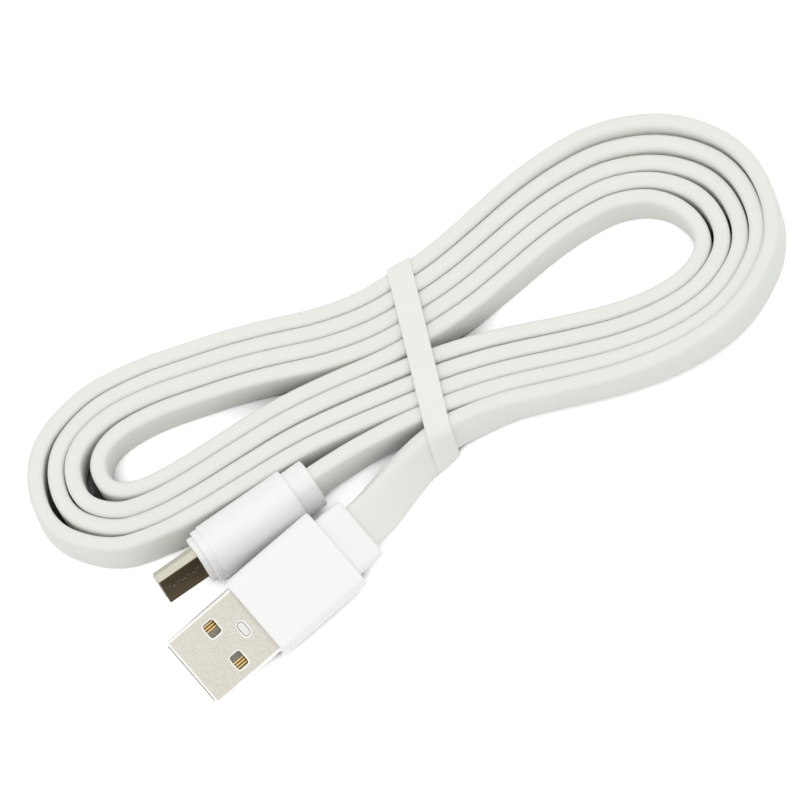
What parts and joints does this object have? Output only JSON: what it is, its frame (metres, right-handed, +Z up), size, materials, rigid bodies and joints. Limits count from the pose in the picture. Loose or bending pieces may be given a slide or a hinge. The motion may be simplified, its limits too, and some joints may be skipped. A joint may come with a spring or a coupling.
{
  "type": "charging cable",
  "caption": "Flat white charging cable wound into a banded dog-bone hank, with a USB-A plug and a Micro-USB-B plug on its ends.",
  "frame": {"origin": "under the middle of the whole cable, on the surface it lies on", "axes": "+X along the hank's length, away from the plugs; +Z up; the plugs lie at -Y"},
  "size_m": [0.1198, 0.0599, 0.0105],
  "materials": {
    "ribbon_jacket": "smooth satin TPE jacket, faintly grey-green white",
    "sleeve_gloss": "polished white ABS sleeve",
    "mould_white": "satin white moulded PVC",
    "tie_band_white": "soft creamy white band",
    "usb_a_shell_steel": "nickel-plated steel, fine grain",
    "micro_shell_steel": "nickel-plated steel in shade, fine grain",
    "tongue_white": "white glass-filled PBT",
    "insulator_black": "black glass-filled LCP",
    "gilt_contact": "gold-plated phosphor bronze",
    "solder": "bright solder",
    "red_core": "red PVC insulation over copper strands",
    "white_core": "white PVC insulation over copper strands",
    "green_core": "green PVC insulation over copper strands",
    "black_core": "black PVC insulation over copper strands"
  },
  "bodies": {
    "root": {"cord_hank": "ribbon_jacket", "cord_tail_a": "ribbon_jacket", "cord_tail_b": "ribbon_jacket", "micro_contact_tails": "gilt_contact", "micro_core_black": "black_core", "micro_core_green": "green_core", "micro_core_red": "red_core", "micro_core_white": "white_core", "micro_inner_mould": "mould_white", "micro_insulator": "insulator_black", "micro_shell": "micro_shell_steel", "micro_sleeve": "sleeve_gloss", "micro_solder_joints": "solder", "tie_band": "tie_band_white", "usb_a_contact_data_minus": "gilt_contact", "usb_a_contact_data_plus": "gilt_contact", "usb_a_contact_ground": "gilt_contact", "usb_a_contact_power": "gilt_contact", "usb_a_core_black": "black_core", "usb_a_core_green": "green_core", "usb_a_core_red": "red_core", "usb_a_core_white": "white_core", "usb_a_inner_mould": "mould_white", "usb_a_shell": "usb_a_shell_steel", "usb_a_sleeve": "sleeve_gloss", "usb_a_solder_joints": "solder", "usb_a_tongue": "tongue_white"},
    "latch_left": {"micro_latch_left": "micro_shell_steel"},
    "latch_right": {"micro_latch_right": "micro_shell_steel"},
    "contact_1": {"micro_contact_1": "gilt_contact"},
    "contact_2": {"micro_contact_2": "gilt_contact"},
    "contact_3": {"micro_contact_3": "gilt_contact"},
    "contact_4": {"micro_contact_4": "gilt_contact"},
    "contact_5": {"micro_contact_5": "gilt_contact"}
  },
  "joints": [
    {"name": "latch_left_press", "type": "hinge", "parent": "root", "child": "latch_left", "pos_m": [-0.03879, -0.00934, 0.00282], "axis": [-0.0761, 0.3335, 0.9397], "range_deg": [0, 3.7], "stiffness_Nm_per_rad": 0.01},
    {"name": "latch_right_press", "type": "hinge", "parent": "root", "child": "latch_right", "pos_m": [-0.03915, -0.00777, 0.00724], "axis": [-0.0761, 0.3335, 0.9397], "range_deg": [0, 3.7], "stiffness_Nm_per_rad": 0.01},
    {"name": "contact_1_bend", "type": "hinge", "parent": "root", "child": "contact_1", "pos_m": [-0.04095, -0.00911, 0.00645], "axis": [-0.0761, 0.3335, 0.9397], "range_deg": [0, 2.8], "stiffness_Nm_per_rad": 0.01},
    {"name": "contact_2_bend", "type": "hinge", "parent": "root", "child": "contact_2", "pos_m": [-0.0409, -0.00932, 0.00583], "axis": [-0.0761, 0.3335, 0.9397], "range_deg": [0, 2.8], "stiffness_Nm_per_rad": 0.01},
    {"name": "contact_3_bend", "type": "hinge", "parent": "root", "child": "contact_3", "pos_m": [-0.04085, -0.00954, 0.00522], "axis": [-0.0761, 0.3335, 0.9397], "range_deg": [0, 2.8], "stiffness_Nm_per_rad": 0.01},
    {"name": "contact_4_bend", "type": "hinge", "parent": "root", "child": "contact_4", "pos_m": [-0.0408, -0.00976, 0.00461], "axis": [-0.0761, 0.3335, 0.9397], "range_deg": [0, 2.8], "stiffness_Nm_per_rad": 0.01},
    {"name": "contact_5_bend", "type": "hinge", "parent": "root", "child": "contact_5", "pos_m": [-0.04075, -0.00997, 0.004], "axis": [-0.0761, 0.3335, 0.9397], "range_deg": [0, 2.8], "stiffness_Nm_per_rad": 0.01}
  ]
}
